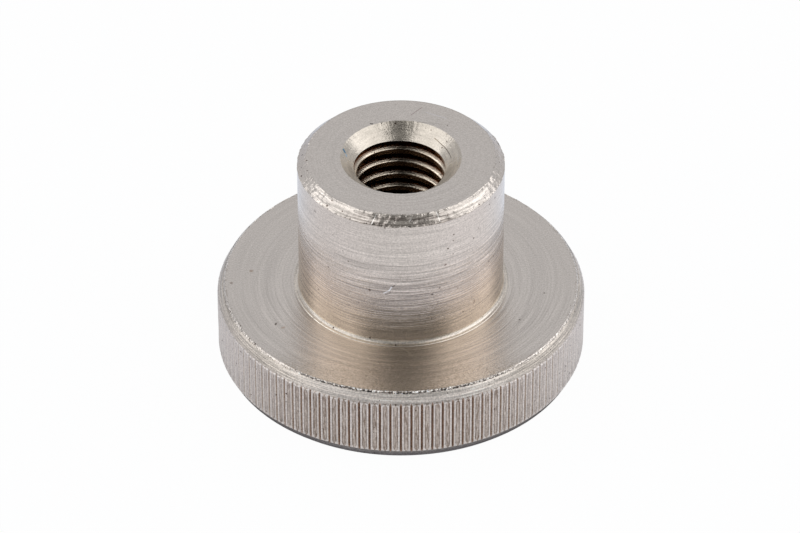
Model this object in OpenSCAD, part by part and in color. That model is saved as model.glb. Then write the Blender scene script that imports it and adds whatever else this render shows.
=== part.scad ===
// Knurled nut, high form, with an M10 thread.
// Turned from one piece of bar: a wide knurled head, a plain collar standing on it,
// and a tapped hole right through, countersunk at both ends.
// The nut stands on its head. The origin is at the middle of the head's flat underside,
// and +Z runs along the thread towards the collar's clamping face.

/* [Head] */
// Diameter of the head over the crests of the knurl
head_d = 36; // [32:0.5:40]
// Height of the head
head_h = 8; // [6:0.5:10]
// Height of the steep bevel between the knurl and each end of the head
rim_bevel_h = 0.75; // [0.5:0.05:1]
// How far that steep bevel leans in
rim_bevel_in = 0.35; // [0.2:0.05:0.5]
// Width of the 45 degree edge break on the head's outer corners
rim_break = 0.3; // [0.1:0.05:0.5]

/* [Knurl] */
// Number of straight ridges round the head
knurl_count = 112; // [90:2:124]
// Depth of a groove from the crest of the ridges to its floor
knurl_depth = 0.3; // [0.2:0.05:0.4]
// How far rolling the knurl raised the crests above the turned rim
knurl_rise = 0.1; // [0.05:0.01:0.15]
// Width of the flat crest of a ridge
crest_w = 0.38; // [0.3:0.02:0.46]
// Width of the floor of a groove
groove_floor_w = 0.1; // [0.06:0.02:0.16]
// How far inside the ends of the ridges the grooves stop
groove_stop = 0.15; // [0:0.05:0.3]

/* [Collar] */
// Diameter of the collar
collar_d = 20; // [16:0.5:24]
// Height of the whole nut, head and collar
nut_h = 23; // [18:0.5:28]
// Width of the 45 degree bevel round the collar's end
collar_bevel = 0.85; // [0.4:0.05:1.2]
// Radius of the fillet between the collar and the head
collar_fillet = 0.3; // [0.1:0.05:1]

/* [Thread] */
// Minor diameter of the M10 thread, which is the wall of the hole
bore_d = 8.6; // [8.4:0.05:8.7]
// Diameter of the countersinks at the two faces
sink_d = 11.7; // [10:0.1:12.5]
// Included angle of the countersinks
sink_angle = 100; // [90:5:120]

/* [Hidden] */
$fn = 96;

// Overlap that keeps joined or cut faces from lying in one plane
lap = 0.05;

crest_r = head_d / 2;
rim_r = crest_r - knurl_rise;
floor_r = crest_r - knurl_depth;
collar_r = collar_d / 2;

// Ends of the ridges, at the foot of the bevels
ridge_z0 = rim_break + rim_bevel_h;
ridge_z1 = head_h - ridge_z0;

// Width of the groove's mouth at the crests follows from the ridges' pitch
pitch_angle = 360 / knurl_count;
crest_angle = 2 * asin(crest_w / 2 / crest_r);
floor_angle = 2 * asin(groove_floor_w / 2 / floor_r);

sink_h = (sink_d - bore_d) / 2 / tan(sink_angle / 2);

function polar(r, angle) = [r * cos(angle), r * sin(angle)];

// Cross-section of the head through the knurl: V grooves with narrow floors, and flat crests.
// One groove lies on the X axis.
module knurl_outline() {
    polygon([
        for (i = [0 : knurl_count - 1])
            let (groove = i * pitch_angle, crest = (i + 0.5) * pitch_angle)
                each [
                    polar(floor_r, groove - floor_angle / 2),
                    polar(floor_r, groove + floor_angle / 2),
                    polar(crest_r, crest - crest_angle / 2),
                    polar(crest_r, crest + crest_angle / 2)
                ]
    ]);
}

// Half section of the head as turned, with a recess behind the knurl.
// The recess ends at 45 degrees, which is how the grooves run out.
module head_section() {
    recess_r = floor_r - lap;
    recess_z0 = ridge_z0 + groove_stop;
    recess_z1 = ridge_z1 - groove_stop;
    recess_run = rim_r - recess_r;
    bevel_r = rim_r - rim_bevel_in;
    polygon([
        [0, 0],
        [bevel_r - rim_break, 0],
        [bevel_r, rim_break],
        [rim_r, ridge_z0],
        [rim_r, recess_z0],
        [recess_r, recess_z0 + recess_run],
        [recess_r, recess_z1 - recess_run],
        [rim_r, recess_z1],
        [rim_r, ridge_z1],
        [bevel_r, head_h - rim_break],
        [bevel_r - rim_break, head_h],
        [0, head_h]
    ]);
}

// Half section that the knurl is trimmed to: its ridges start and end in 45 degree slopes
module knurl_section() {
    inner_r = rim_r - lap;
    outer_r = crest_r + lap;
    run = outer_r - rim_r;
    polygon([
        [0, ridge_z0 - lap],
        [inner_r, ridge_z0 - lap],
        [outer_r, ridge_z0 + run],
        [outer_r, ridge_z1 - run],
        [inner_r, ridge_z1 + lap],
        [0, ridge_z1 + lap]
    ]);
}

// Half section of the collar, down into the head, with the fillet at its foot
module collar_section() {
    polygon([
        [0, head_h / 2],
        [collar_r, head_h / 2],
        [collar_r, nut_h - collar_bevel],
        [collar_r - collar_bevel, nut_h],
        [0, nut_h]
    ]);
    translate([collar_r, head_h])
        difference() {
            translate([-lap, -lap])
                square(collar_fillet + lap);
            translate([collar_fillet, collar_fillet])
                circle(collar_fillet);
        }
}

module knurl() {
    intersection() {
        linear_extrude(head_h)
            knurl_outline();
        rotate_extrude()
            knurl_section();
    }
}

// Wall of the tapped hole, at the thread's minor diameter, and a countersink at each end
module tapped_hole() {
    past = sink_h / 4;
    past_d = sink_d + 2 * past * tan(sink_angle / 2);
    translate([0, 0, -1])
        cylinder(h = nut_h + 2, d = bore_d);
    translate([0, 0, nut_h - sink_h])
        cylinder(h = sink_h + past, d1 = bore_d, d2 = past_d);
    translate([0, 0, -past])
        cylinder(h = sink_h + past, d1 = past_d, d2 = bore_d);
}

module knurled_nut() {
    color([0.68, 0.66, 0.63])
        difference() {
            union() {
                rotate_extrude()
                    union() {
                        head_section();
                        collar_section();
                    }
                knurl();
            }
            tapped_hole();
        }
}

knurled_nut();
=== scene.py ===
# Knurled nut, high form, standing on its head: a knurled head, a plain collar and a tapped hole.
# Everything is in metres in the frame of the CAD model, whose origin is the middle of the underside.

import math

import bmesh
import bpy
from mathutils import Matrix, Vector


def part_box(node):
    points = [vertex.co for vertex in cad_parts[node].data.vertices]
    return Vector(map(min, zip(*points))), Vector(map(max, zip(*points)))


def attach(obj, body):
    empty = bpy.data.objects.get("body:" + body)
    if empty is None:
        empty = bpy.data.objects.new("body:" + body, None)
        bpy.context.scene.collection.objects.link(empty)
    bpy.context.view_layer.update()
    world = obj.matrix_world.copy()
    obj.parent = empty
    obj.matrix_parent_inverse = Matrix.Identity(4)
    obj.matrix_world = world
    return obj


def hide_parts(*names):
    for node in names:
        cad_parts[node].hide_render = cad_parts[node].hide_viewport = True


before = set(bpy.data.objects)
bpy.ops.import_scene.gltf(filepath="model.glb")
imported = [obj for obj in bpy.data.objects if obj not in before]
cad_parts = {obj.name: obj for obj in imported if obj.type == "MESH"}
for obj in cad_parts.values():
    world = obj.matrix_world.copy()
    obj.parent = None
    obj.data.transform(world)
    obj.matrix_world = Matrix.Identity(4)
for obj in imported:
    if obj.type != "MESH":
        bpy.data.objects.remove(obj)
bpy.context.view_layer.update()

# ---------------------------------------------------------------- camera
# A long lens looks down on the nut, past its collar's end into the hole.
# It aims at the thread's axis, a little below the nut's middle, from the side of -Y.

mm = 0.001
view_elevation = math.radians(38.2)
aim = Vector((-0.09 * mm, 0, 9.58 * mm))
aim_distance = 488 * mm
sensor_mm = 36
lens_mm = 224.5
sight_reach = 10_000 * mm

bpy.ops.object.select_all(action="DESELECT")
line_of_sight = Vector((0, -math.cos(view_elevation), math.sin(view_elevation)))
bpy.ops.object.camera_add(
    location=aim + line_of_sight * aim_distance,
    rotation=(math.pi / 2 - view_elevation, 0, 0),
)
camera = bpy.context.object
camera.name = "camera"
camera.data.sensor_width = sensor_mm
camera.data.lens = lens_mm
camera.data.clip_end = sight_reach
bpy.context.scene.camera = camera
bpy.context.scene.view_settings.view_transform = "Standard"

# ---------------------------------------------------------------- knurl
# The knurl was rolled into the head's rim: a toothed roller pressed V grooves into the turned skin,
# and the steel it moved stands up as a bright shoulder on each side of a groove. Between two
# shoulders a strip of the old skin is left, which ends in an arch where the roller ran out.

nut_low, nut_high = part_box("knurled_nut")
nut_h = nut_high.z - nut_low.z
head_h = 8 * mm
crest_r = 18 * mm
crest_rise = 0.1 * mm
rim_r = crest_r - crest_rise
rim_break = 0.3 * mm
rim_bevel_h = 0.75 * mm
rim_bevel_in = 0.35 * mm

knurl_count = 112
pitch_angle = 2 * math.pi / knurl_count
half_pitch = rim_r * math.tan(pitch_angle / 2)
groove_depth = 0.3 * mm
groove_floor = crest_rise - groove_depth
ridge_z0 = rim_break + rim_bevel_h
ridge_z1 = head_h - ridge_z0

# Across a tooth, from its middle: the old skin's edge, the shoulder, and the groove
skin_edge = 0.215 * mm
skin_sink = 0.04 * mm
shoulder_inner = 0.25 * mm
shoulder_outer = 0.385 * mm
groove_mouth = 0.435 * mm
groove_floor_edge = 0.465 * mm
# How much of the shoulder's rise is left at its outer edge and at the groove's mouth
outer_rise = 0.95
mouth_rise = 0.1
# Along a tooth, from either end: how much of its width and its sink the skin has there, and the
# groove of its depth. The rows in the middle of the tooth have them in full.
full_row = (1.0, 1.0, 1.0)
run_out = {
    0.12 * mm: (0.25, 0.0, 0.15),
    0.20 * mm: (0.62, 0.5, 0.45),
    0.32 * mm: (0.86, 1.0, 0.8),
    0.50 * mm: full_row,
}
middle_rows = [0.6 * mm, 1.2 * mm, 1.8 * mm]
# No two teeth came out quite alike: all but their ends wander a little
tooth_wander = 0.014 * mm
steady_end = 0.05 * mm

# Places this close count as one, the room left in a test of place, and how close vertices of
# neighbouring teeth lie when they are merged
same_place = 0.002 * mm
slack = 0.01 * mm
weld_reach = 0.012 * mm


def edit(piece):
    """Goes into edit mode on one piece, with nothing selected."""
    bpy.ops.object.select_all(action="DESELECT")
    piece.select_set(True)
    bpy.context.view_layer.objects.active = piece
    bpy.ops.object.mode_set(mode="EDIT")
    bpy.ops.mesh.select_mode(type="VERT")
    bpy.ops.mesh.select_all(action="DESELECT")


def pick(piece, test):
    """Selects the vertices whose place passes the test, and what lies between them."""
    mesh = bmesh.from_edit_mesh(piece.data)
    for vertex in mesh.verts:
        vertex.select = bool(test(vertex.co))
    mesh.select_flush(True)
    mesh.select_flush(False)
    bmesh.update_edit_mesh(piece.data)


def radius(place):
    """How far a place is from the thread's axis."""
    return math.hypot(place.x, place.y)


def near(a, b):
    """Whether two measures are the same, but for rounding."""
    return abs(a - b) < same_place


def from_end(place):
    """How far along the ridge a place is from the nearer end."""
    return min(place.z - ridge_z0, ridge_z1 - place.z)


def in_row(place, along):
    """Whether a place is in the row that lies so far from an end, or for None in a middle row."""
    if along is None:
        return from_end(place) > max(run_out) + same_place
    return near(from_end(place), along)


bpy.ops.object.select_all(action="DESELECT")
bpy.ops.mesh.primitive_plane_add(
    size=1, location=(rim_r, 0, head_h / 2), rotation=(0, math.pi / 2, 0)
)
nut = bpy.context.object
nut.name = "nut"
nut.data.name = "nut"
nut.scale = (ridge_z1 - ridge_z0, 2 * half_pitch, 1)
bpy.ops.object.transform_apply(location=True, rotation=True, scale=True)

edit(nut)
for across in (skin_edge, shoulder_inner, shoulder_outer, groove_mouth, groove_floor_edge):
    for side in (-1, 1):
        bpy.ops.mesh.select_all(action="SELECT")
        bpy.ops.mesh.bisect(plane_co=(0, side * across, 0), plane_no=(0, 1, 0))
for row in (0, *middle_rows, *(ridge_z1 - head_h / 2 - along for along in run_out)):
    for side in (1, -1) if row else (1,):
        bpy.ops.mesh.select_all(action="SELECT")
        bpy.ops.mesh.bisect(plane_co=(0, 0, head_h / 2 + side * row), plane_no=(0, 0, 1))

for along, (skin_w, sink, groove) in [*run_out.items(), (None, full_row)]:
    for across, height in (
        (skin_edge, crest_rise - skin_sink * sink),
        (shoulder_inner, crest_rise),
        (shoulder_outer, crest_rise * outer_rise),
        (groove_mouth, crest_rise * mouth_rise),
        (groove_floor_edge, groove_floor * groove),
        (half_pitch, groove_floor * groove),
    ):
        pick(nut, lambda p: near(abs(p.y), across) and in_row(p, along))
        bpy.ops.transform.translate(value=(height, 0, 0))
    if skin_w < 1:
        pick(nut, lambda p: abs(p.y) < shoulder_inner + slack and in_row(p, along))
        bpy.ops.transform.resize(value=(1, skin_w, 1), center_override=(crest_r, 0, 0))

bpy.ops.mesh.select_all(action="SELECT")
bpy.ops.transform.rotate(value=-pitch_angle / 2, orient_axis="Z", center_override=(0, 0, 0))
bpy.ops.mesh.select_all(action="SELECT")
bpy.ops.mesh.spin(
    steps=knurl_count - 1,
    dupli=True,
    angle=2 * math.pi - pitch_angle,
    center=(0, 0, 0),
    axis=(0, 0, 1),
)
bpy.ops.mesh.select_all(action="SELECT")
bpy.ops.mesh.remove_doubles(threshold=weld_reach)
pick(nut, lambda p: from_end(p) > steady_end)
bpy.ops.transform.vertex_random(offset=tooth_wander, uniform=0.0, normal=0.0, seed=3)

# ---------------------------------------------------------------- turned blank
# The blank was turned from bar in one setting: the head's bevels and faces, the collar with a small
# fillet at its foot, and the bevel round the collar's end. The tool left a burr along each edge.

collar_r = 10 * mm
collar_bevel = 0.85 * mm
foot_step = 0.04 * mm
foot_r = 0.36 * mm
break_r = rim_r - rim_bevel_in - rim_break
burr_h = 0.02 * mm
# The innermost ring on each end, across which the end is closed until the hole is cut
end_r = 7.2 * mm

# A shallow ring that the tool cut halfway up the head's bevel
ring_z = ridge_z1 + 0.38 * mm
ring_half_w = 0.045 * mm
ring_depth = 0.03 * mm


def rim_bevel_r(height):
    """Radius of the head's bevel at a height."""
    return rim_r - rim_bevel_in * (height - ridge_z1) / rim_bevel_h


foot_arc = [
    (
        collar_r + foot_r - foot_r * math.sin(turn),
        head_h + foot_step + foot_r - foot_r * math.cos(turn),
    )
    for turn in (math.radians(angle) for angle in (0, 22, 45, 68, 90))
]
bevel_slope = [
    (collar_r - down * collar_bevel, nut_h - collar_bevel + down * collar_bevel)
    for down in (0.05, 0.12, 0.2, 0.3, 0.4, 0.5, 0.6, 0.7, 0.8, 0.88, 0.95)
]
# Half section upwards from the knurl: radius and height of each turned ring
upper_rings = [
    # The head's bevel, with the shallow ring in it
    (rim_bevel_r(ridge_z1 + 0.05 * mm), ridge_z1 + 0.05 * mm),
    (rim_bevel_r(ring_z - ring_half_w), ring_z - ring_half_w),
    (rim_bevel_r(ring_z) - ring_depth, ring_z),
    (rim_bevel_r(ring_z + ring_half_w), ring_z + ring_half_w),
    (rim_r - rim_bevel_in + 0.01 * mm, head_h - rim_break - 0.03 * mm),
    # The small break above it, and the burr
    (rim_r - rim_bevel_in - 0.03 * mm, head_h - rim_break + 0.02 * mm),
    (break_r + 0.15 * mm, head_h - 0.20 * mm),
    (break_r + 0.11 * mm, head_h - 0.17 * mm),
    (break_r + 0.12 * mm, head_h - 0.12 * mm),
    (break_r + 0.06 * mm, head_h - 0.04 * mm),
    (break_r, head_h + burr_h),
    # The head's upper face
    (break_r - 0.06 * mm, head_h),
    (break_r - 0.15 * mm, head_h),
    (break_r - 0.3 * mm, head_h),
    (collar_r + 0.5 * mm, head_h),
    (collar_r + 0.44 * mm, head_h + foot_step),
    # The fillet, the collar's wall, and the bevel with a burr at each edge
    *foot_arc,
    (collar_r, nut_h - collar_bevel - 0.3 * mm),
    (collar_r, nut_h - collar_bevel - 0.15 * mm),
    (collar_r, nut_h - collar_bevel - 0.06 * mm),
    (collar_r + burr_h, nut_h - collar_bevel),
    *bevel_slope,
    (collar_r - collar_bevel - 0.01 * mm, nut_h + burr_h),
    # The collar's end
    (collar_r - collar_bevel - 0.08 * mm, nut_h),
    (collar_r - collar_bevel - 0.16 * mm, nut_h),
    (collar_r - collar_bevel - 0.22 * mm, nut_h),
    (collar_r - collar_bevel - 0.3 * mm, nut_h),
    (end_r, nut_h),
]
# And downwards: the lower bevel, the break and the underside
lower_rings = [
    (rim_r - rim_bevel_in, rim_break),
    (break_r, 0),
    (end_r, 0),
]


def turn_rings(start_z, rings):
    """Extrudes the open loop at a height through the rings of a half section, and closes the end."""
    pick(nut, lambda p: near(p.z, start_z))
    bpy.ops.transform.tosphere(value=1)
    last_r, last_z = rim_r, start_z
    for next_r, next_z in rings:
        bpy.ops.mesh.extrude_edges_move(
            TRANSFORM_OT_translate={"value": (0, 0, next_z - last_z)}
        )
        share = next_r / last_r
        bpy.ops.transform.resize(value=(share, share, 1), center_override=(0, 0, next_z))
        last_r, last_z = next_r, next_z
    bpy.ops.mesh.edge_face_add()


turn_rings(ridge_z1, upper_rings)
turn_rings(ridge_z0, lower_rings)
bpy.ops.mesh.select_all(action="SELECT")
bpy.ops.mesh.normals_make_consistent(inside=False)
bpy.ops.object.mode_set(mode="OBJECT")

# ---------------------------------------------------------------- tapped hole
# The hole is countersunk at both ends and tapped M10 with a 1.5 mm pitch, right-handed. The tap is
# modelled as a threaded rod, cut a little shallower in the last turn at the collar's end.

thread_pitch = 1.5 * mm
thread_half_angle = math.radians(30)
bore_r = 4.3 * mm
root_r = 5.0 * mm
root_w = thread_pitch / 8
flank_w = (root_r - bore_r) * math.tan(thread_half_angle)
crest_w = thread_pitch - root_w - 2 * flank_w
crest_round = 0.03 * mm
crest_round_h = 0.6 * crest_round
thread_start = math.radians(73)
thread_steps = 120
spare_turns = 2
# Beyond this radius the tap is thread, which in its last turn keeps this share of its radius
thread_from_r = bore_r + 0.1 * mm
last_turn_h = 1.3 * mm
last_turn_share = 0.965
sink_r = 5.85 * mm
sink_half_angle = math.radians(50)
sink_slope = math.tan(sink_half_angle)
sink_sides = 360
# How far a tool reaches past the face that it cuts from
overrun = 0.6 * mm
# Rings round the wall of the upper countersink, which keep the tears of its rim close to the rim
sink_holds = (nut_h - 0.1 * mm, nut_h - 0.2 * mm)

bpy.ops.object.select_all(action="DESELECT")
bpy.ops.mesh.primitive_plane_add(size=1 * mm)
tap = bpy.context.object
tap.name = "tap"
edit(tap)
bpy.ops.mesh.select_all(action="SELECT")
bpy.ops.mesh.merge(type="CENTER")
bpy.ops.transform.translate(value=(bore_r + crest_round, 0, -spare_turns * thread_pitch))
for step_r, step_z in [
    (-crest_round, crest_round_h),
    (0, crest_w - 2 * crest_round_h),
    (crest_round, crest_round_h),
    (root_r - bore_r - crest_round, flank_w),
    (0, root_w),
    (bore_r + crest_round - root_r, flank_w),
]:
    bpy.ops.mesh.extrude_vertices_move(TRANSFORM_OT_translate={"value": (step_r, 0, step_z)})
bpy.ops.object.mode_set(mode="OBJECT")
screw = tap.modifiers.new("thread", "SCREW")
screw.axis = "Z"
screw.angle = 2 * math.pi
screw.screw_offset = 2 * flank_w + root_w + crest_w
screw.steps = thread_steps
screw.render_steps = thread_steps
screw.iterations = math.ceil(nut_h / thread_pitch) + 2 * spare_turns
bpy.ops.object.modifier_apply(modifier=screw.name)
edit(tap)
bpy.ops.mesh.select_all(action="SELECT")
bpy.ops.mesh.remove_doubles(threshold=same_place)
for height, upwards in ((-overrun, -1), (nut_h + overrun, 1)):
    bpy.ops.mesh.select_all(action="SELECT")
    bpy.ops.mesh.bisect(
        plane_co=(0, 0, height), plane_no=(0, 0, upwards), use_fill=True, clear_outer=True
    )
pick(tap, lambda p: radius(p) > thread_from_r and p.z > nut_h - last_turn_h)
bpy.ops.transform.resize(
    value=(last_turn_share, last_turn_share, 1), center_override=(0, 0, nut_h)
)
bpy.ops.mesh.select_all(action="SELECT")
bpy.ops.transform.rotate(value=thread_start, orient_axis="Z", center_override=(0, 0, 0))
bpy.ops.mesh.normals_make_consistent(inside=False)
bpy.ops.object.mode_set(mode="OBJECT")


def cut(tool):
    """Cuts a tool's shape out of the nut, and puts the tool away."""
    bpy.ops.object.select_all(action="DESELECT")
    nut.select_set(True)
    bpy.context.view_layer.objects.active = nut
    boolean = nut.modifiers.new("cut", "BOOLEAN")
    boolean.operation = "DIFFERENCE"
    boolean.solver = "EXACT"
    boolean.object = tool
    bpy.ops.object.modifier_apply(modifier=boolean.name)
    bpy.data.objects.remove(tool)


sink_tool_h = (sink_r + overrun * sink_slope) / sink_slope
for face_z, outwards in ((nut_h, 1), (0, -1)):
    bpy.ops.object.select_all(action="DESELECT")
    bpy.ops.mesh.primitive_cone_add(
        vertices=sink_sides,
        radius1=sink_tool_h * sink_slope,
        radius2=0,
        depth=sink_tool_h,
        location=(0, 0, face_z + outwards * (overrun - sink_tool_h / 2)),
        rotation=(math.pi if outwards > 0 else 0, 0, 0),
    )
    sink_tool = bpy.context.object
    bpy.ops.object.transform_apply(location=True, rotation=True, scale=True)
    cut(sink_tool)
edit(nut)
for held in sink_holds:
    pick(nut, lambda p: radius(p) < sink_r + slack and p.z > nut_h / 2)
    bpy.ops.mesh.bisect(plane_co=(0, 0, held), plane_no=(0, 0, 1))
bpy.ops.object.mode_set(mode="OBJECT")
cut(tap)

# ---------------------------------------------------------------- ragged edges
# Nothing was done to the edges after turning: the burrs are torn and knocked about all round, most
# of all at both edges of the collar's bevel. The wander is in the mesh.

edge_margin = 0.1 * mm
bevel_reach = 0.9 * mm
# The bevel came off torn in front of this, and smooth behind it
smooth_from_y = 4.5 * mm
# Its two edges reach this far down from the collar's end, and start again here
upper_edge_h = 0.2 * mm
lower_edge_h = 0.7 * mm
# How far the head's burr reaches inwards and outwards, and the torn rim of the countersink
head_edge_in = 0.08 * mm
head_edge_out = 0.16 * mm
sink_edge_reach = 0.02 * mm


def on_collar_edge(place):
    """The bevel round the collar's end, from its lower burr to just inside its upper one."""
    return radius(place) > collar_r - collar_bevel - edge_margin and place.z > nut_h - bevel_reach


def on_torn_side(place):
    """The part of that bevel that came off torn: all but the back."""
    return on_collar_edge(place) and place.y < smooth_from_y


def on_torn_edge(place):
    """The two edges of that part."""
    return on_torn_side(place) and not upper_edge_h < nut_h - place.z < lower_edge_h


def on_head_edge(place):
    """The burr between the head's small break and its upper face."""
    return place.z > head_h / 2 and -head_edge_in < radius(place) - break_r < head_edge_out


def on_sink_edge(place):
    """The rim of the upper countersink."""
    return abs(radius(place) - sink_r) < sink_edge_reach and place.z > nut_h - sink_edge_reach


# How far each edge wanders, and how far apart its tears are
for name, test, wander, wave in (
    ("knocks_on_collar", on_torn_side, 0.12 * mm, 0.45 * mm),
    ("tears_on_collar", on_torn_edge, 0.09 * mm, 0.12 * mm),
    ("tears_on_head", on_head_edge, 0.1 * mm, 0.13 * mm),
    ("tears_on_sink", on_sink_edge, 0.10 * mm, 0.18 * mm),
):
    edit(nut)
    pick(nut, test)
    bpy.ops.object.vertex_group_assign_new()
    bpy.ops.object.mode_set(mode="OBJECT")
    torn = bpy.data.textures.new(name, "CLOUDS")
    torn.cloud_type = "COLOR"
    torn.noise_scale = wave
    torn.noise_depth = 2
    ragged = nut.modifiers.new(name, "DISPLACE")
    ragged.texture = torn
    ragged.texture_coords = "LOCAL"
    ragged.direction = "RGB_TO_XYZ"
    ragged.mid_level = 0.5
    ragged.strength = wander
    ragged.vertex_group = nut.vertex_groups.active.name
    bpy.ops.object.modifier_apply(modifier=ragged.name)
    nut.vertex_groups.clear()

# Edges sharper than this stay crisp
crisp_angle = math.radians(22)
bpy.ops.object.select_all(action="DESELECT")
nut.select_set(True)
bpy.context.view_layer.objects.active = nut
bpy.ops.object.shade_smooth_by_angle(angle=crisp_angle)

# ---------------------------------------------------------------- finishes
# All of the nut is one free-cutting stainless steel, bare, a warm grey. Its surfaces differ by the
# tool that left them: each shows that tool's lines, a fine grain, and small dark pits.

steel_colour = "#dbcfc0"
pit_colour = "#5c4a3e"
# The real grain and pits are finer than this. They are drawn as coarse as they need to be to show.
grain_size = 0.16 * mm
pit_spacing = 0.5 * mm
pit_r = 0.12 * mm
# How softly a pit's edge fades, as a share of the spacing
pit_fade = 0.06


def linear(colour):
    """An sRGB hex colour as linear RGBA."""
    parts = [int(colour[i : i + 2], 16) / 255 for i in (1, 3, 5)]
    return [p / 12.92 if p <= 0.04045 else ((p + 0.055) / 1.055) ** 2.4 for p in parts] + [1.0]


def node(tree, kind, inputs=(), **settings):
    """Adds a node with its settings, and returns its outputs. Its inputs are given in their order,
    or by their names or numbers, and each is a link, a value or a hex colour. A Mix node's two
    colours are its inputs 6 and 7, and its output 2."""
    made = tree.nodes.new(kind)
    for name, value in settings.items():
        setattr(made, name, value)
    for name, value in inputs.items() if isinstance(inputs, dict) else enumerate(inputs):
        if isinstance(value, bpy.types.NodeSocket):
            tree.links.new(value, made.inputs[name])
        else:
            made.inputs[name].default_value = linear(value) if isinstance(value, str) else value
    return made.outputs


def start_steel(name, roughness):
    """Starts a bare steel on the nut, and returns its nodes and places in mm."""
    material = bpy.data.materials.new(name)
    material.use_nodes = True
    tree = material.node_tree
    shader = tree.nodes["Principled BSDF"]
    shader.inputs["Metallic"].default_value = 1
    shader.inputs["Roughness"].default_value = roughness
    places = node(tree, "ShaderNodeTexCoord")["Object"]
    in_mm = node(tree, "ShaderNodeMapping", {"Vector": places, "Scale": (1000, 1000, 1000)})[0]
    nut.data.materials.append(material)
    return tree, in_mm


def distance_out(tree, in_mm):
    """Distance from the nut's axis in mm."""
    level = node(tree, "ShaderNodeVectorMath", (in_mm, (1, 1, 0)), operation="MULTIPLY")
    return node(tree, "ShaderNodeVectorMath", (level[0],), operation="LENGTH")["Value"]


def across_tooth(tree, in_mm):
    """Distance in mm from the middle of the nearest tooth of the knurl."""
    parts = node(tree, "ShaderNodeSeparateXYZ", (in_mm,))
    turn = node(tree, "ShaderNodeMath", (parts["Y"], parts["X"]), operation="ARCTAN2")
    turn = node(tree, "ShaderNodeMath", (turn[0], 1 / pitch_angle), operation="MULTIPLY")
    turn = node(tree, "ShaderNodeMath", (turn[0],), operation="FRACT")
    turn = node(tree, "ShaderNodeMath", (turn[0], 0.5), operation="SUBTRACT")
    turn = node(tree, "ShaderNodeMath", (turn[0],), operation="ABSOLUTE")
    return node(tree, "ShaderNodeMath", (turn[0], 2 * half_pitch / mm), operation="MULTIPLY")[0]


def streaks(tree, places, detail):
    """Streaks or specks one unit apart in the places given. The noise seldom leaves 0.3 to 0.7, and
    is spread from there to 0 to 1."""
    pattern = node(
        tree,
        "ShaderNodeTexNoise",
        {"Vector": places, "Scale": 1, "Detail": detail, "Roughness": 0.65},
    )[0]
    return node(tree, "ShaderNodeMapRange", (pattern, 0.3, 0.7))[0]


def tool_lines(tree, in_mm, along, spacing, wander=0.12):
    """Lines that a tool left round the nut, one after another along a height or a radius, as far
    apart as it was fed in a turn."""
    drift = node(tree, "ShaderNodeVectorMath", (in_mm, (wander, wander, 0)), operation="MULTIPLY")
    feed = node(tree, "ShaderNodeMath", (along, mm / spacing), operation="MULTIPLY")
    feed = node(tree, "ShaderNodeCombineXYZ", {"Z": feed[0]})
    lane = node(tree, "ShaderNodeVectorMath", (drift[0], feed[0]), operation="ADD")
    return streaks(tree, lane[0], 3)


def specks(tree, in_mm, size):
    """A grain of a given size."""
    places = node(
        tree, "ShaderNodeVectorMath", {0: in_mm, "Scale": mm / size}, operation="SCALE"
    )
    return streaks(tree, places[0], 1.5)


def marked(tree, in_mm, tint, start, end, width, mark_colour, strength):
    """Lays one mark over a colour: a stroke between two places in mm, which may be one place. Half
    its width is in full colour, and its edges fade."""
    run = Vector(end) - Vector(start)
    away = node(tree, "ShaderNodeVectorMath", (in_mm, start), operation="SUBTRACT")[0]
    if run.length > 0:
        per_run = run / run.length_squared
        part = node(tree, "ShaderNodeVectorMath", (away, per_run), operation="DOT_PRODUCT")
        part = node(tree, "ShaderNodeClamp", (part["Value"],))[0]
        step = node(tree, "ShaderNodeVectorMath", {0: run, "Scale": part}, operation="SCALE")[0]
        away = node(tree, "ShaderNodeVectorMath", (away, step), operation="SUBTRACT")[0]
    gap = node(tree, "ShaderNodeVectorMath", (away,), operation="LENGTH")["Value"]
    inside = node(
        tree, "ShaderNodeMapRange", (gap, width * 0.75, width * 0.25, 0, strength)
    )[0]
    return node(tree, "ShaderNodeMix", {0: inside, 6: tint, 7: mark_colour}, data_type="RGBA")[2]


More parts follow.
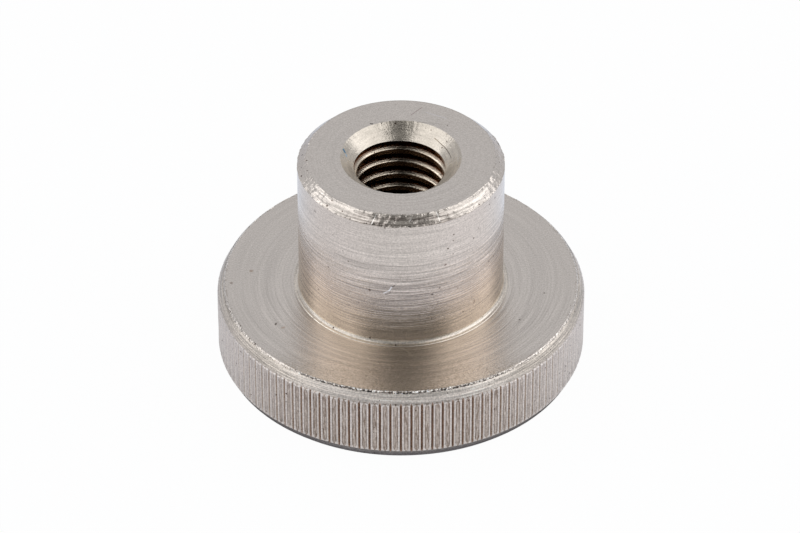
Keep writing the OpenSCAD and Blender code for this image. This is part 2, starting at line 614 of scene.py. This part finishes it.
def finish_steel(tree, in_mm, lines, line_shade, line_depth, grain_shade, grain_depth,
                 colour=steel_colour, pits=0.4, marks=()):
    """Gives a steel its colour, shaded by the tool's lines and the grain, its pits and its relief.
    Pits is the share of places that have one. A mark is two places, a width, a colour and a
    strength."""
    grain = specks(tree, in_mm, grain_size)
    line_part = node(
        tree, "ShaderNodeMapRange", (lines, 0, 1, 1 - line_shade, 1 + line_shade)
    )[0]
    grain_part = node(
        tree, "ShaderNodeMapRange", (grain, 0, 1, 1 - grain_shade, 1 + grain_shade)
    )[0]
    shade = node(tree, "ShaderNodeMath", (line_part, grain_part), operation="MULTIPLY")[0]
    tint = node(tree, "ShaderNodeHueSaturation", {"Color": colour, "Value": shade})[0]

    pit = node(tree, "ShaderNodeTexVoronoi", {"Vector": in_mm, "Scale": mm / pit_spacing})
    chance = node(tree, "ShaderNodeSeparateColor", (pit["Color"],))[0]
    reach = node(tree, "ShaderNodeMapRange", (chance, 1 - pits, 1, 0, pit_r / pit_spacing))[0]
    hollow = node(tree, "ShaderNodeMath", (reach, pit["Distance"]), operation="SUBTRACT")
    hollow = node(tree, "ShaderNodeMapRange", (hollow[0], 0, pit_fade))[0]
    tint = node(tree, "ShaderNodeMix", {0: hollow, 6: tint, 7: pit_colour}, data_type="RGBA")[2]
    for mark in marks:
        tint = marked(tree, in_mm, tint, *mark)
    shader = tree.nodes["Principled BSDF"]
    tree.links.new(tint, shader.inputs["Base Color"])

    relief = node(tree, "ShaderNodeMath", (lines, line_depth / mm), operation="MULTIPLY")[0]
    relief = node(
        tree, "ShaderNodeMath", (grain, grain_depth / mm, relief), operation="MULTIPLY_ADD"
    )[0]
    bump = node(tree, "ShaderNodeBump", {"Height": relief, "Distance": mm, "Strength": 1.0})
    tree.links.new(bump[0], shader.inputs["Normal"])


# Collar wall: turned at a coarse feed with a worn tool, which tore its lower half. Painted shade
# darkens it towards the foot.
tree, in_mm = start_steel("turned_steel_wall", 0.22)
height = node(tree, "ShaderNodeSeparateXYZ", (in_mm,))["Z"]
lines = tool_lines(tree, in_mm, height, 0.13 * mm, wander=0.14)
torn_low = node(tree, "ShaderNodeMapRange", (height, 8.9, 9.8, 0.25))[0]
torn_high = node(tree, "ShaderNodeMapRange", (height, 19.5, 15.5, 0.35))[0]
torn = node(tree, "ShaderNodeMath", (torn_low, torn_high), operation="MULTIPLY")[0]
lines = node(tree, "ShaderNodeMapRange", (lines, 0.1, 0.9, -0.5, 0.5))[0]
lines = node(tree, "ShaderNodeMath", (lines, torn, 0.5), operation="MULTIPLY_ADD")[0]
# Painted shade: the wall's colour darkens in two steps towards the collar's foot
lower = node(tree, "ShaderNodeMapRange", (height, 18.5, 14.0))[0]
tint = node(
    tree, "ShaderNodeMix", {0: lower, 6: steel_colour, 7: "#cbbeb1"}, data_type="RGBA"
)[2]
lowest = node(tree, "ShaderNodeMapRange", (height, 12.5, 9.5))[0]
tint = node(tree, "ShaderNodeMix", {0: lowest, 6: tint, 7: "#c3b6a7"}, data_type="RGBA")[2]
finish_steel(
    tree, in_mm, lines, line_shade=0.36, line_depth=0.01 * mm, grain_shade=0.17,
    grain_depth=0.002 * mm, colour=tint, pits=0.28,
    marks=(
        # A dent, its lip painted bright as a glint and its edges painted dark as shade, and then
        # small stains and specks of rust
        ((-1.62, -9.87, 14.1), (-1.14, -9.93, 14.45), 0.12, "#fbf7f2", 0.8),
        ((-1.14, -9.93, 14.45), (-0.85, -9.96, 14.95), 0.14, "#fbf7f2", 0.9),
        ((-0.85, -9.96, 14.95), (-0.62, -9.98, 15.1), 0.1, "#3c3028", 0.9),
        ((-1.5, -9.88, 13.95), (-1.0, -9.95, 14.2), 0.08, "#6c6058", 0.7),
        ((-8.2, -5.7, 20.8), (-8.2, -5.7, 20.8), 0.3, "#5a4a40", 0.5),
        ((4.2, -9.07, 16.9), (4.3, -9.03, 16.95), 0.16, "#6a4a40", 0.8),
        ((3.7, -9.27, 14.3), (3.7, -9.27, 14.3), 0.18, "#5a4038", 0.8),
        ((7.0, -7.1, 10.7), (7.1, -7.0, 11.0), 0.14, "#6a5040", 0.7),
    ),
)

# Faces: faced with the same tool. Its lines show most clearly in front of the collar's foot, and near
# the head's front edge the steel is gritty, its specks darkened there only as painted shade. Rust has
# started in a few pits.
tree, in_mm = start_steel("faced_steel", 0.27)
from_axis = distance_out(tree, in_mm)
lines = tool_lines(tree, in_mm, from_axis, 0.2 * mm)
fine_top = node(tree, "ShaderNodeMapRange", (from_axis, 9.2, 11.0, 0.35))[0]
fine_rim = node(tree, "ShaderNodeMapRange", (from_axis, 16.5, 12.5, 0.45))[0]
clear = node(tree, "ShaderNodeMath", (fine_top, fine_rim), operation="MULTIPLY")[0]
to_back = node(tree, "ShaderNodeSeparateXYZ", (in_mm,))["Y"]
fine_back = node(tree, "ShaderNodeMapRange", (to_back, 1, -7, 0.45))[0]
clear = node(tree, "ShaderNodeMath", (clear, fine_back), operation="MULTIPLY")[0]
lines = node(tree, "ShaderNodeMapRange", (lines, 0, 1, -0.5, 0.5))[0]
lines = node(tree, "ShaderNodeMath", (lines, clear, 0.5), operation="MULTIPLY_ADD")[0]
grit_and_painted_shade = specks(tree, in_mm, 0.13 * mm)
grit_and_painted_shade = node(tree, "ShaderNodeMapRange", (grit_and_painted_shade, 0.4, 0.8))[0]
# Painted shade: the grit darkens the steel only near the head's front edge
front = node(tree, "ShaderNodeMapRange", (to_back, -11, -14))[0]
grit_and_painted_shade = node(tree, "ShaderNodeMath", (grit_and_painted_shade, front), operation="MULTIPLY")[0]
tint = node(
    tree, "ShaderNodeMix", {0: grit_and_painted_shade, 6: steel_colour, 7: "#bfb2a0"}, data_type="RGBA"
)[2]
finish_steel(
    tree, in_mm, lines, line_shade=0.22, line_depth=0.014 * mm, grain_shade=0.11,
    grain_depth=0.005 * mm, colour=tint, pits=0.01,
    marks=(
        # Rust and a scratch on the head painted bright as a glint, and then scratches and specks on
        # the collar's end, one painted bright as a glint
        ((-14.7, 1.3, 8.0), (-14.7, 1.3, 8.0), 0.36, "#a08468", 0.6),
        ((-16.6, -0.6, 8.0), (-16.6, -0.6, 8.0), 0.3, "#8a7460", 0.6),
        ((-12.15, -7.1, 8.0), (-12.1, -6.9, 8.0), 0.18, "#4a3828", 0.8),
        ((-11.5, -7.6, 8.0), (-11.3, -7.5, 8.0), 0.22, "#b49474", 0.5),
        ((0.0, -10.7, 8.0), (0.5, -11.0, 8.0), 0.1, "#fff4e4", 0.9),
        ((0.5, -11.0, 8.0), (1.1, -11.9, 8.0), 0.1, "#fff4e4", 0.9),
        ((1.0, 6.8, 23.0), (2.05, 8.0, 23.0), 0.1, "#9a8078", 0.5),
        ((2.45, 7.2, 23.0), (4.4, 6.2, 23.0), 0.07, "#f4f0ec", 0.5),
        ((-2.95, 5.35, 23.0), (-2.75, 5.3, 23.0), 0.14, "#30261f", 0.9),
        ((-5.6, 1.1, 23.0), (-5.5, 0.95, 22.9), 0.2, "#4f9ab8", 0.6),
    ),
)

# Bevel round the collar's end: cut last with a tool that chattered, so it is bright and crumpled, and
# smooth only at the back. At the front below its upper edge, darker patches that follow its tears are
# painted shade.
tree, in_mm = start_steel("chattered_steel", 0.23)
parts = node(tree, "ShaderNodeSeparateXYZ", (in_mm,))
to_back, height = parts["Y"], parts["Z"]
lines = tool_lines(tree, in_mm, height, 0.13 * mm, wander=0.35)
# Painted shade: darker patches that follow the tears, only at the front below the upper edge
front = node(tree, "ShaderNodeMapRange", (to_back, -7.8, -9.1))[0]
painted_shade_patches = node(tree, "ShaderNodeMapRange", (lines, 0.8, 0.3))[0]
painted_shade_patches = node(tree, "ShaderNodeMath", (painted_shade_patches, front), operation="MULTIPLY")[0]
below = node(tree, "ShaderNodeMapRange", (height, 22.94, 22.78, 0.1))[0]
painted_shade_patches = node(tree, "ShaderNodeMath", (painted_shade_patches, below), operation="MULTIPLY")[0]
lines = node(tree, "ShaderNodeMapRange", (lines, 0, 1, -0.5, 0.5))[0]
chatter = node(tree, "ShaderNodeMapRange", (to_back, -1, -6, 0.06))[0]
calm = node(tree, "ShaderNodeMapRange", (to_back, -8.9, -8.3, 0.45))[0]
chatter = node(tree, "ShaderNodeMath", (chatter, calm), operation="MULTIPLY")[0]
lines = node(tree, "ShaderNodeMath", (lines, chatter, 0.5), operation="MULTIPLY_ADD")[0]
tint = node(tree, "ShaderNodeMix", {0: painted_shade_patches, 6: "#d5c9ba", 7: "#91857a"}, data_type="RGBA")[2]
finish_steel(
    tree, in_mm, lines, line_shade=0.38, line_depth=0.024 * mm, grain_shade=0.14,
    grain_depth=0.005 * mm, colour=tint, pits=0.6,
    marks=(
        # Three nicks across the front, painted bright as glints
        ((-2.36, -8.95, 22.9), (-2.79, -9.54, 22.2), 0.1, "#fff6e8", 0.9),
        ((1.09, -9.23, 22.9), (0.8, -9.6, 22.5), 0.1, "#fff6e8", 0.9),
        ((3.37, -8.6, 22.9), (3.7, -9.2, 22.3), 0.1, "#fff6e8", 0.9),
    ),
)

# Countersinks: cut bright by a three-edged tool, and duller at the front. A dark line of painted
# shade runs round the upper one, near where the thread runs out into it.
tree, in_mm = start_steel("countersunk_steel", 0.24)
lines = tool_lines(tree, in_mm, distance_out(tree, in_mm), 0.3 * mm, wander=0.5)
to_back = node(tree, "ShaderNodeSeparateXYZ", (in_mm,))["Y"]
less_bright = node(tree, "ShaderNodeMapRange", (to_back, 0.5, -2, 0.24, 0.5))[0]
tree.links.new(less_bright, tree.nodes["Principled BSDF"].inputs["Roughness"])
finish_steel(
    tree, in_mm, lines, line_shade=0.14, line_depth=0.016 * mm, grain_shade=0.1,
    grain_depth=0.006 * mm, colour="#cbbfad",
    marks=(
        # Specks of blue, and then that line of painted shade in six short runs
        ((-5.54, 1.34, 22.87), (-5.4, 1.1, 22.7), 0.2, "#2a7898", 0.9),
        ((-5.29, 0.9, 22.6), (-5.2, 0.7, 22.55), 0.14, "#8fc0dc", 0.7),
        ((-3.7, -2.2, 21.72), (-3.66, -2.4, 21.76), 0.18, "#4f9ac4", 0.8),
        ((3.25, 3.88, 22.34), (3.62, 3.42, 22.29), 0.07, "#6a5636", 0.8),
        ((3.62, 3.42, 22.29), (3.95, 2.98, 22.24), 0.07, "#4a3a28", 0.9),
        ((3.95, 2.98, 22.24), (4.24, 2.55, 22.24), 0.07, "#4a3a28", 0.9),
        ((4.24, 2.55, 22.24), (4.45, 2.12, 22.23), 0.07, "#4a3a28", 0.9),
        ((4.45, 2.12, 22.23), (4.67, 1.52, 22.22), 0.07, "#5a4a3c", 0.9),
        ((4.67, 1.52, 22.22), (4.83, 0.87, 22.21), 0.06, "#6a5a4c", 0.8),
    ),
)

# The head's bevel: turned at a coarse feed, in rings, and dull; paler at the front and darker away
# from it as painted light and shade.
tree, in_mm = start_steel("ringed_steel", 0.38)
parts = node(tree, "ShaderNodeSeparateXYZ", (in_mm,))
to_back, height = parts["Y"], parts["Z"]
lines = tool_lines(tree, in_mm, height, 0.13 * mm, wander=0.2)
# Painted light: the bevel's colour is paler at the very front and darker away from it
less_bright = node(tree, "ShaderNodeMapRange", (to_back, -16.5, -13))[0]
tint = node(tree, "ShaderNodeMix", {0: less_bright, 6: "#e6dacb", 7: "#cabeae"}, data_type="RGBA")[2]
finish_steel(
    tree, in_mm, lines, line_shade=0.4, line_depth=0.02 * mm, grain_shade=0.24,
    grain_depth=0.006 * mm, colour=tint, pits=0.4,
)

# The fillet at the collar's foot: left by the tool's rounded nose, with a little dried oil in it.
tree, in_mm = start_steel("filleted_steel", 0.3)
lines = tool_lines(tree, in_mm, distance_out(tree, in_mm), 0.13 * mm, wander=0.2)
finish_steel(
    tree, in_mm, lines, line_shade=0.3, line_depth=0.01 * mm, grain_shade=0.2,
    grain_depth=0.005 * mm, colour="#dccfbd", pits=0.5,
)

# The burr at the head's upper edge: torn by the tool, bright on its crest. The hollows below it are
# darkened, most of all at the front, as painted shade.
tree, in_mm = start_steel("torn_steel", 0.18)
torn = specks(tree, in_mm, 0.2 * mm)
parts = node(tree, "ShaderNodeSeparateXYZ", (in_mm,))
to_back, height = parts["Y"], parts["Z"]
front = node(tree, "ShaderNodeMapRange", (to_back, -13, -16.5, 0.2))[0]
below = node(tree, "ShaderNodeMapRange", (height, 8.0, 7.93))[0]
# Painted shade: the hollows under the burr darken, most of all at the front
hollow = node(tree, "ShaderNodeMapRange", (torn, 0.7, 0.4))[0]
hollow = node(tree, "ShaderNodeMath", (hollow, below), operation="MULTIPLY")[0]
hollow = node(tree, "ShaderNodeMath", (hollow, front), operation="MULTIPLY")[0]
torn = node(tree, "ShaderNodeMapRange", (torn, 0, 1, -0.5, 0.5))[0]
torn = node(tree, "ShaderNodeMath", (torn, front, 0.5), operation="MULTIPLY_ADD")[0]
tint = node(
    tree, "ShaderNodeMix", {0: hollow, 6: steel_colour, 7: "#63584f"}, data_type="RGBA"
)[2]
finish_steel(
    tree, in_mm, torn, line_shade=0.9, line_depth=0.11 * mm, grain_shade=0.4,
    grain_depth=0.015 * mm, colour=tint, pits=1.0,
)

# Shoulders of the knurl: steel that the roller moved, burnished by it, with dried oily dirt down in
# the grooves.
# That dark is strongest at the front and fades to the sides as painted shade.
tree, in_mm = start_steel("rolled_steel", 0.36)
along = node(tree, "ShaderNodeVectorMath", (in_mm, (7, 7, 1)), operation="MULTIPLY")[0]
ragged = specks(tree, in_mm, 0.25 * mm)
dirt_edge = node(
    tree, "ShaderNodeMath", (ragged, 0.05, across_tooth(tree, in_mm)), operation="MULTIPLY_ADD"
)[0]
dirt_and_painted_shade = node(tree, "ShaderNodeMapRange", (dirt_edge, 0.45, 0.475))[0]
to_back = node(tree, "ShaderNodeSeparateXYZ", (in_mm,))["Y"]
# Painted shade: the grooves' dark is strongest at the front and fades towards the sides
front = node(tree, "ShaderNodeMapRange", (to_back, -9, -16, 0.1))[0]
dirt_and_painted_shade = node(tree, "ShaderNodeMath", (dirt_and_painted_shade, front), operation="MULTIPLY")[0]
bare = node(tree, "ShaderNodeMapRange", (dirt_and_painted_shade, 0, 1, 1, 0))[0]
tree.links.new(bare, tree.nodes["Principled BSDF"].inputs["Metallic"])
lines = streaks(tree, along, 2)
tint = node(tree, "ShaderNodeMix", {0: dirt_and_painted_shade, 6: "#ddd2c6", 7: "#b3937a"}, data_type="RGBA")[2]
finish_steel(
    tree, in_mm, lines, line_shade=0.06, line_depth=0.006 * mm, grain_shade=0.2,
    grain_depth=0.004 * mm, colour=tint, pits=0.3,
)

# Old skin between the shoulders: duller and a little brown, with dirt and painted shade along both of
# its edges, and streaks along the tooth from the roller. It is paler towards the sides as painted
# light.
tree, in_mm = start_steel("turned_skin", 0.4)
along = node(tree, "ShaderNodeVectorMath", (in_mm, (11, 11, 1)), operation="MULTIPLY")[0]
lines = streaks(tree, along, 2)
ragged = specks(tree, in_mm, 0.3 * mm)
dirt_edge = node(
    tree, "ShaderNodeMath", (ragged, 0.04, across_tooth(tree, in_mm)), operation="MULTIPLY_ADD"
)[0]
paler = node(tree, "ShaderNodeMapRange", (lines, 0.15, 0.7))[0]
tint = node(tree, "ShaderNodeMix", {0: paler, 6: "#8d7867", 7: "#c8baab"}, data_type="RGBA")[2]
# Dirt and painted shade in the creases along both edges of the skin
dirt_and_painted_shade = node(tree, "ShaderNodeMapRange", (dirt_edge, 0.16, 0.19, 0, 0.85))[0]
tint = node(tree, "ShaderNodeMix", {0: dirt_and_painted_shade, 6: tint, 7: "#6c5443"}, data_type="RGBA")[2]
to_back = node(tree, "ShaderNodeSeparateXYZ", (in_mm,))["Y"]
# Painted light: the skin turns paler towards the sides
painted_light_aside = node(tree, "ShaderNodeMapRange", (to_back, -16, -9, 0, 0.9))[0]
tint = node(tree, "ShaderNodeMix", {0: painted_light_aside, 6: tint, 7: "#d8ccc0"}, data_type="RGBA")[2]
finish_steel(
    tree, in_mm, lines, line_shade=0.1, line_depth=0.01 * mm, grain_shade=0.25,
    grain_depth=0.004 * mm, colour=tint, pits=0.6,
)

# Thread: tapped, pale just past its crests, brown on the crests' flats, and dark brown into the
# roots.
# The roots' dark is partly cutting oil and partly painted shade deep in the hole.
tree, in_mm = start_steel("tapped_steel", 0.15)
from_axis = distance_out(tree, in_mm)
flank = node(tree, "ShaderNodeMapRange", (from_axis, 4.31, 4.35))[0]
tint = node(tree, "ShaderNodeMix", {0: flank, 6: "#8f745a", 7: "#dccdb5"}, data_type="RGBA")[2]
# Painted shade, partly cutting oil: the flanks darken towards the roots
root = node(tree, "ShaderNodeMapRange", (from_axis, 4.38, 4.7))[0]
tint = node(tree, "ShaderNodeMix", {0: root, 6: tint, 7: "#5f3416"}, data_type="RGBA")[2]
lines = tool_lines(tree, in_mm, from_axis, 0.09 * mm, wander=0.5)
finish_steel(
    tree, in_mm, lines, line_shade=0.3, line_depth=0.009 * mm, grain_shade=0.2,
    grain_depth=0.006 * mm, colour=tint, pits=0.6,
)

# The finishes are numbered in the order in which they were added to the nut
(wall, faced, chattered, countersunk, ringed, fillet, burr, shoulder, skin, tapped) = range(10)
# How level a face is that was faced, from where the knurl reaches outwards, how steep and how deep
# the countersinks' walls are, how deep their torn rim is, and how far down the burr reaches
level_enough = 0.99
knurl_inner_r = 17 * mm
sink_level = math.sin(sink_half_angle)
sink_level_slack = 0.04
sink_h = (sink_r - bore_r) / sink_slope
sink_slack = 0.05 * mm
torn_rim_h = 0.15 * mm
burr_reach = 0.19 * mm


def finish_of(face):
    """Which tool left a face of the nut, by the face's place and direction."""
    place = face.center
    r, z = radius(place), place.z
    level = abs(face.normal.z)
    if level > level_enough and min(abs(z), abs(z - head_h), abs(z - nut_h)) < slack:
        return faced
    if r > knurl_inner_r and ridge_z0 < z < ridge_z1:
        across = abs((math.atan2(place.y, place.x) / pitch_angle) % 1 - 0.5) * 2 * half_pitch
        rows = [along for along in run_out if along > from_end(place)]
        skin_share = run_out[min(rows)][0] if rows else 1
        return skin if across < skin_edge * skin_share * 0.5 else shoulder
    if r < sink_r:
        on_cone = abs(level - sink_level) < sink_level_slack
        on_sink = on_cone and min(z, nut_h - z) < sink_h + sink_slack
        return countersunk if on_sink or z > nut_h - torn_rim_h else tapped
    if on_collar_edge(place):
        return chattered
    if on_head_edge(place) and z > head_h - burr_reach:
        return burr
    if r > break_r and not ridge_z0 < z < ridge_z1:
        return ringed
    if head_h + slack < z < head_h + foot_step + foot_r:
        return fillet
    if near(z, nut_h) or near(z, head_h):
        return faced
    return wall


for polygon in nut.data.polygons:
    polygon.material_index = finish_of(polygon)

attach(nut, "root")
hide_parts("knurled_nut")

# ---------------------------------------------------------------- floor
# A plain white table top, evenly white to the eye. In reflections its glow is painted: pale, brighter
# to the right as painted light, grey close round the nut's foot as a painted shadow, and greyer far
# off, most of all to the sides, as painted shade.

floor_w = 2000 * mm
# How much of the floor's look is its own glow: to the eye, and as the steel sees it
glow_seen = 0.97
glow_reflected = 0.85

bpy.ops.object.select_all(action="DESELECT")
bpy.ops.mesh.primitive_plane_add(size=floor_w)
table_top = bpy.context.object
table_top.name = "table_top"
material = bpy.data.materials.new("white_paper")
material.use_nodes = True
tree = material.node_tree
tree.nodes.remove(tree.nodes["Principled BSDF"])
ray = node(tree, "ShaderNodeLightPath")
seen = ray["Is Camera Ray"]
reflected = node(
    tree,
    "ShaderNodeMath",
    (ray["Is Glossy Ray"], ray["Is Transmission Ray"]),
    operation="MAXIMUM",
)[0]
share = node(tree, "ShaderNodeMapRange", (reflected, 0, 1, 0, glow_reflected))[0]
share = node(tree, "ShaderNodeMath", (seen, glow_seen, share), operation="MULTIPLY_ADD")[0]
places = node(tree, "ShaderNodeTexCoord")["Object"]
in_mm = node(tree, "ShaderNodeMapping", {"Vector": places, "Scale": (1000, 1000, 1000)})[0]
parts = node(tree, "ShaderNodeSeparateXYZ", (in_mm,))
to_right, to_back = parts["X"], parts["Y"]
from_axis = distance_out(tree, in_mm)
# Painted shadow: in reflections the floor's glow turns grey close round the nut's foot
clear = node(tree, "ShaderNodeMapRange", (from_axis, 17.9, 19.2))[0]
tone = node(tree, "ShaderNodeMix", {0: clear, 6: "#595c68", 7: "#e0e5f0"}, data_type="RGBA")[2]
clear = node(tree, "ShaderNodeMapRange", (from_axis, 22, 34))[0]
tone = node(tree, "ShaderNodeMix", {0: clear, 6: tone, 7: "#ebeffd"}, data_type="RGBA")[2]
behind = node(tree, "ShaderNodeMapRange", (to_back, 0, 50))[0]
tone = node(tree, "ShaderNodeMix", {0: behind, 6: tone, 7: "#e1edff"}, data_type="RGBA")[2]
# Painted shade: far off, the reflected glow greys, most of all to the sides
either_way = node(tree, "ShaderNodeMath", (to_back,), operation="ABSOLUTE")[0]
aside = node(tree, "ShaderNodeMapRange", (either_way, 70, 10))[0]
painted_far_shade = node(tree, "ShaderNodeMix", {0: aside, 6: "#ccd0dc", 7: "#8e939e"}, data_type="RGBA")[2]
ahead = node(tree, "ShaderNodeMapRange", (to_back, -22, -38))[0]
tone = node(tree, "ShaderNodeMix", {0: ahead, 6: tone, 7: "#dde2ee"}, data_type="RGBA")[2]
far = node(tree, "ShaderNodeMapRange", (from_axis, 42, 80))[0]
tone = node(tree, "ShaderNodeMix", {0: far, 6: tone, 7: painted_far_shade}, data_type="RGBA")[2]
tone = node(tree, "ShaderNodeMix", {0: seen, 6: tone, 7: "#ffffff"}, data_type="RGBA")[2]
# Painted light: in reflections the floor glows brighter to the right
strength = node(tree, "ShaderNodeMapRange", (to_right, -40, 40, 0.98, 1.14))[0]
strength = node(tree, "ShaderNodeMix", {0: seen, 2: strength, 3: 1.0})[0]
paper = node(tree, "ShaderNodeBsdfDiffuse", {"Color": "#f4f4f4"})[0]
glow = node(tree, "ShaderNodeEmission", {"Color": tone, "Strength": strength})[0]
shown = node(tree, "ShaderNodeMixShader", (share, paper, glow))[0]
tree.links.new(shown, tree.nodes["Material Output"].inputs["Surface"])
table_top.data.materials.append(material)

# ---------------------------------------------------------------- lights
# Two wide soft boxes stand to the left and right of the nut, tilted down to it. The studio in front,
# between them, is dim, and dark overhead. It is pale behind the nut, and low down in front of it.

box_distance = 500 * mm
box_elevation = math.radians(42)
# Half the height and, below, half the width of a box, as shares of its distance
box_half_h = 0.57
box_h = 2 * box_distance * box_half_h
# A little cooler than white, as linear RGB
box_colour = (0.95, 0.995, 1.10)

for name, box_azimuth, box_half_w, box_radiance in (
    ("soft_box_left", math.radians(-76), 0.56, 1.07),
    ("soft_box_right", math.radians(84), 0.52, 1.13),
):
    box_w = 2 * box_distance * box_half_w
    direction = Vector(
        (
            math.sin(box_azimuth) * math.cos(box_elevation),
            -math.cos(box_azimuth) * math.cos(box_elevation),
            math.sin(box_elevation),
        )
    )
    bpy.ops.object.light_add(type="AREA", location=direction * box_distance)
    lamp = bpy.context.object
    lamp.name = name
    lamp.rotation_euler = (-direction).to_track_quat("-Z", "Y").to_euler()
    lamp.data.shape = "RECTANGLE"
    lamp.data.size = box_w
    lamp.data.size_y = box_h
    lamp.data.color = box_colour
    lamp.data.energy = box_radiance * math.pi * box_w * box_h

world = bpy.data.worlds.new("studio")
bpy.context.scene.world = world
world.use_nodes = True
tree = world.node_tree
direction = node(tree, "ShaderNodeTexCoord")["Generated"]
parts = node(tree, "ShaderNodeSeparateXYZ", (direction,))
to_back, up = parts["Y"], parts["Z"]
behind = node(tree, "ShaderNodeMath", (up, -0.5, to_back), operation="MULTIPLY_ADD")[0]
behind = node(tree, "ShaderNodeMapRange", (behind, -0.35, 0.0))[0]
low = node(tree, "ShaderNodeMapRange", (up, 0.42, 0.2))[0]
ahead = node(tree, "ShaderNodeMapRange", (to_back, -0.45, -0.8))[0]
low = node(tree, "ShaderNodeMath", (low, ahead), operation="MULTIPLY")[0]
pale = node(tree, "ShaderNodeMath", (behind, low), operation="MAXIMUM")[0]
overhead = node(tree, "ShaderNodeMapRange", (up, 0.86, 0.96))[0]
dim = node(tree, "ShaderNodeMix", {0: overhead, 6: "#909397", 7: "#2a2b2e"}, data_type="RGBA")[2]
walls = node(tree, "ShaderNodeMix", {0: pale, 6: dim, 7: "#cfd4df"}, data_type="RGBA")[2]
tree.links.new(walls, tree.nodes["Background"].inputs["Color"])
